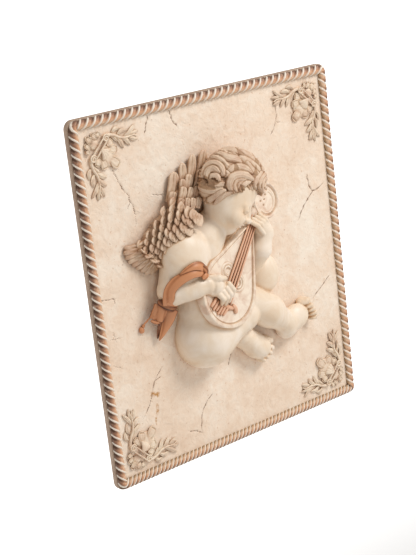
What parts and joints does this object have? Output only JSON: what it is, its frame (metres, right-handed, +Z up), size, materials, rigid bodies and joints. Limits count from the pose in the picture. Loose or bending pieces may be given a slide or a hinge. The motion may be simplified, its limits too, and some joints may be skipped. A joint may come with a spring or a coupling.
{
  "type": "cherub wall plaque",
  "caption": "Rectangular relief plaque for a wall: a winged child bowed over a lute inside a rope border with shell and leaf corners, flat at the back.",
  "frame": {"origin": "centre of the flat back face, where the plaque lies against its wall", "axes": "+X to the viewer's right, +Z up, -Y out of the wall towards the viewer, +Y into the wall"},
  "size_m": [0.3, 0.051, 0.334],
  "materials": {
    "casting": "antiqued satin wash over cast resin stone, ivory on the raised forms and brown in the hollows"
  },
  "bodies": {
    "root": {"plaque": "casting"}
  },
  "joints": []
}
